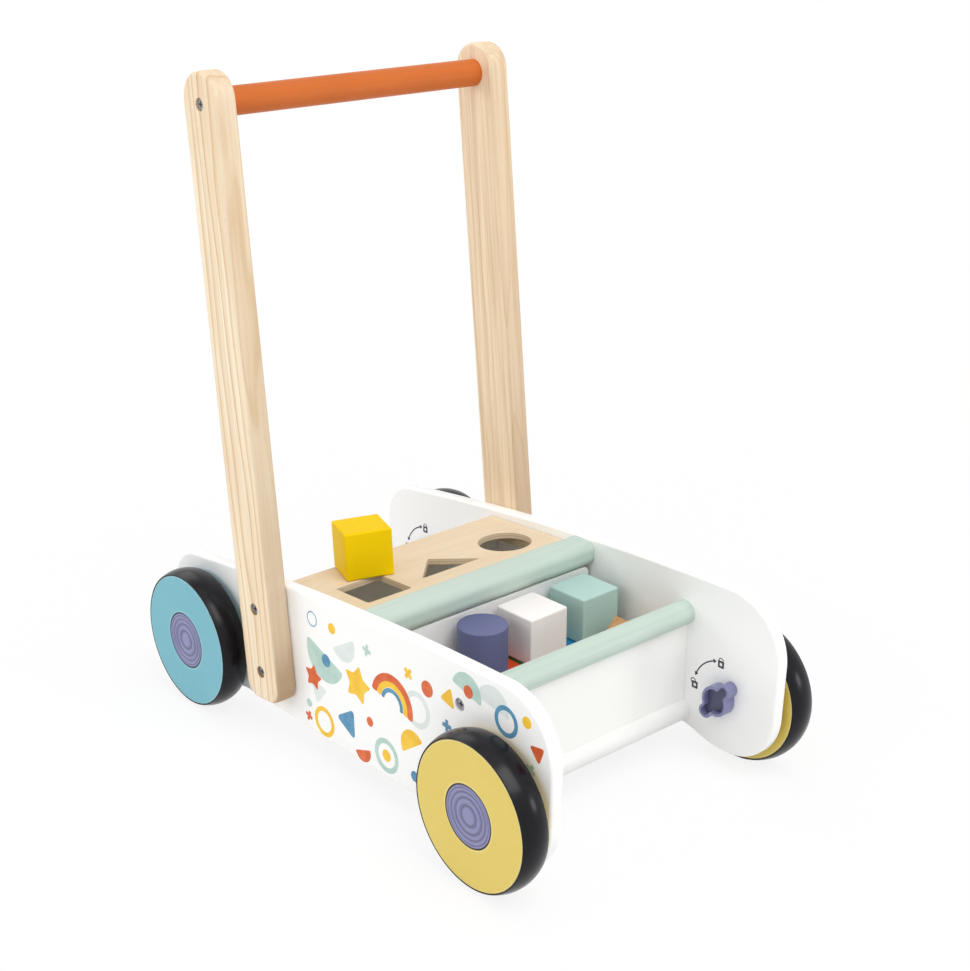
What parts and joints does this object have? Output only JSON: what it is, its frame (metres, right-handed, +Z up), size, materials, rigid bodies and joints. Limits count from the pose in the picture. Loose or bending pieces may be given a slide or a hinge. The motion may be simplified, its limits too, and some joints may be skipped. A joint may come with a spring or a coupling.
{
  "type": "baby walker",
  "caption": "Wooden push-along baby walker with a block tray, shape-sorter box, rubber-tyred wheels with brake knobs, and a push bar on tilted posts.",
  "frame": {"origin": "on the floor, midway between the two axles and between the two side panels", "axes": "+X to the child's left, +Y from the front towards the child behind, +Z up"},
  "size_m": [0.304, 0.486, 0.5353],
  "materials": {
    "white_paint": "satin painted plywood",
    "pine": "clear lacquered pine",
    "orange_paint": "satin paint",
    "lid_beech": "clear lacquered beech ply",
    "mint_paint": "satin paint",
    "plywood": "white painted plywood",
    "zinc_steel": "zinc plated",
    "white_plastic": "moulded",
    "yellow_paint": "satin paint",
    "turquoise_paint": "satin paint",
    "tyre_rubber": "satin",
    "violet_plastic": "satin moulded",
    "block_orange": "satin paint",
    "block_green": "satin paint",
    "block_blue": "satin paint",
    "block_red": "satin paint",
    "block_violet": "satin paint",
    "block_white": "satin paint",
    "block_mint": "satin paint",
    "block_natural": "bare wood",
    "block_yellow": "satin paint"
  },
  "bodies": {
    "walker": {"side_panel_left": "white_paint", "handle_post_left": "pine", "side_panel_right": "white_paint", "handle_post_right": "pine", "push_bar": "orange_paint", "sorter_lid": "lid_beech", "sorter_rail": "mint_paint", "tray_divider": "white_paint", "top_front_rod": "mint_paint", "low_front_rod": "white_paint", "front_panel": "white_paint", "floor_board": "plywood", "rear_wall": "white_paint", "lid_cleats": "pine", "divider_cleats": "pine", "rail_pins": "pine", "post_screws": "zinc_steel", "push_bar_screws": "zinc_steel", "rod_screws": "zinc_steel", "axle_bolts": "zinc_steel", "wheel_spacers": "white_plastic"},
    "wheel_front_left": {"wheel_disc_front_left": "yellow_paint", "tyre_front_left": "tyre_rubber", "wheel_bush_front_left": "white_plastic", "hub_cap_front_left": "violet_plastic"},
    "knob_front_left": {"brake_knob_front_left": "violet_plastic", "knob_nut_front_left": "zinc_steel"},
    "wheel_front_right": {"wheel_disc_front_right": "yellow_paint", "tyre_front_right": "tyre_rubber", "wheel_bush_front_right": "white_plastic", "hub_cap_front_right": "violet_plastic"},
    "knob_front_right": {"brake_knob_front_right": "violet_plastic", "knob_nut_front_right": "zinc_steel"},
    "wheel_rear_left": {"wheel_disc_rear_left": "turquoise_paint", "tyre_rear_left": "tyre_rubber", "wheel_bush_rear_left": "white_plastic", "hub_cap_rear_left": "violet_plastic"},
    "knob_rear_left": {"brake_knob_rear_left": "violet_plastic", "knob_nut_rear_left": "zinc_steel"},
    "wheel_rear_right": {"wheel_disc_rear_right": "turquoise_paint", "tyre_rear_right": "tyre_rubber", "wheel_bush_rear_right": "white_plastic", "hub_cap_rear_right": "violet_plastic"},
    "knob_rear_right": {"brake_knob_rear_right": "violet_plastic", "knob_nut_rear_right": "zinc_steel"},
    "block_orange_cube_loose": {"block_orange_cube": "block_orange"},
    "block_green_cube_loose": {"block_green_cube": "block_green"},
    "block_blue_cube_loose": {"block_blue_cube": "block_blue"},
    "block_red_cube_loose": {"block_red_cube": "block_red"},
    "block_violet_cylinder_loose": {"block_violet_cylinder": "block_violet"},
    "block_white_cube_loose": {"block_white_cube": "block_white"},
    "block_mint_cube_loose": {"block_mint_cube": "block_mint"},
    "block_natural_roof_loose": {"block_natural_roof": "block_natural"},
    "block_yellow_cube_loose": {"block_yellow_cube": "block_yellow"}
  },
  "joints": [
    {"name": "wheel_front_left_turn", "type": "hinge", "parent": "walker", "child": "wheel_front_left", "pos_m": [0.14, -0.183, 0.06], "axis": [1, 0, 0], "continuous": true},
    {"name": "wheel_front_right_turn", "type": "hinge", "parent": "walker", "child": "wheel_front_right", "pos_m": [-0.14, -0.183, 0.06], "axis": [1, 0, 0], "continuous": true},
    {"name": "wheel_rear_left_turn", "type": "hinge", "parent": "walker", "child": "wheel_rear_left", "pos_m": [0.14, 0.183, 0.06], "axis": [1, 0, 0], "continuous": true},
    {"name": "wheel_rear_right_turn", "type": "hinge", "parent": "walker", "child": "wheel_rear_right", "pos_m": [-0.14, 0.183, 0.06], "axis": [1, 0, 0], "continuous": true},
    {"name": "knob_front_left_turn", "type": "hinge", "parent": "walker", "child": "knob_front_left", "pos_m": [0.106, -0.183, 0.06], "axis": [1, 0, 0], "range_deg": [-40, 40]},
    {"name": "knob_front_right_turn", "type": "hinge", "parent": "walker", "child": "knob_front_right", "pos_m": [-0.106, -0.183, 0.06], "axis": [1, 0, 0], "range_deg": [-40, 40]},
    {"name": "knob_rear_left_turn", "type": "hinge", "parent": "walker", "child": "knob_rear_left", "pos_m": [0.106, 0.183, 0.06], "axis": [1, 0, 0], "range_deg": [-40, 40]},
    {"name": "knob_rear_right_turn", "type": "hinge", "parent": "walker", "child": "knob_rear_right", "pos_m": [-0.106, 0.183, 0.06], "axis": [1, 0, 0], "range_deg": [-40, 40]},
    {"name": "block_orange_cube_lift", "type": "slide", "parent": "walker", "child": "block_orange_cube_loose", "axis": [0, 0, 1], "range_m": [0, 0.12]},
    {"name": "block_green_cube_lift", "type": "slide", "parent": "walker", "child": "block_green_cube_loose", "axis": [0, 0, 1], "range_m": [0, 0.12]},
    {"name": "block_blue_cube_lift", "type": "slide", "parent": "walker", "child": "block_blue_cube_loose", "axis": [0, 0, 1], "range_m": [0, 0.12]},
    {"name": "block_red_cube_lift", "type": "slide", "parent": "walker", "child": "block_red_cube_loose", "axis": [0, 0, 1], "range_m": [0, 0.12]},
    {"name": "block_violet_cylinder_lift", "type": "slide", "parent": "block_orange_cube_loose", "child": "block_violet_cylinder_loose", "axis": [0, 0, 1], "range_m": [0, 0.1]},
    {"name": "block_white_cube_lift", "type": "slide", "parent": "block_green_cube_loose", "child": "block_white_cube_loose", "axis": [0, 0, 1], "range_m": [0, 0.1]},
    {"name": "block_mint_cube_lift", "type": "slide", "parent": "block_blue_cube_loose", "child": "block_mint_cube_loose", "axis": [0, 0, 1], "range_m": [0, 0.1]},
    {"name": "block_natural_roof_lift", "type": "slide", "parent": "block_red_cube_loose", "child": "block_natural_roof_loose", "axis": [0, 0, 1], "range_m": [0, 0.1]},
    {"name": "block_yellow_cube_lift", "type": "slide", "parent": "walker", "child": "block_yellow_cube_loose", "axis": [0, 0, 1], "range_m": [0, 0.1]}
  ]
}
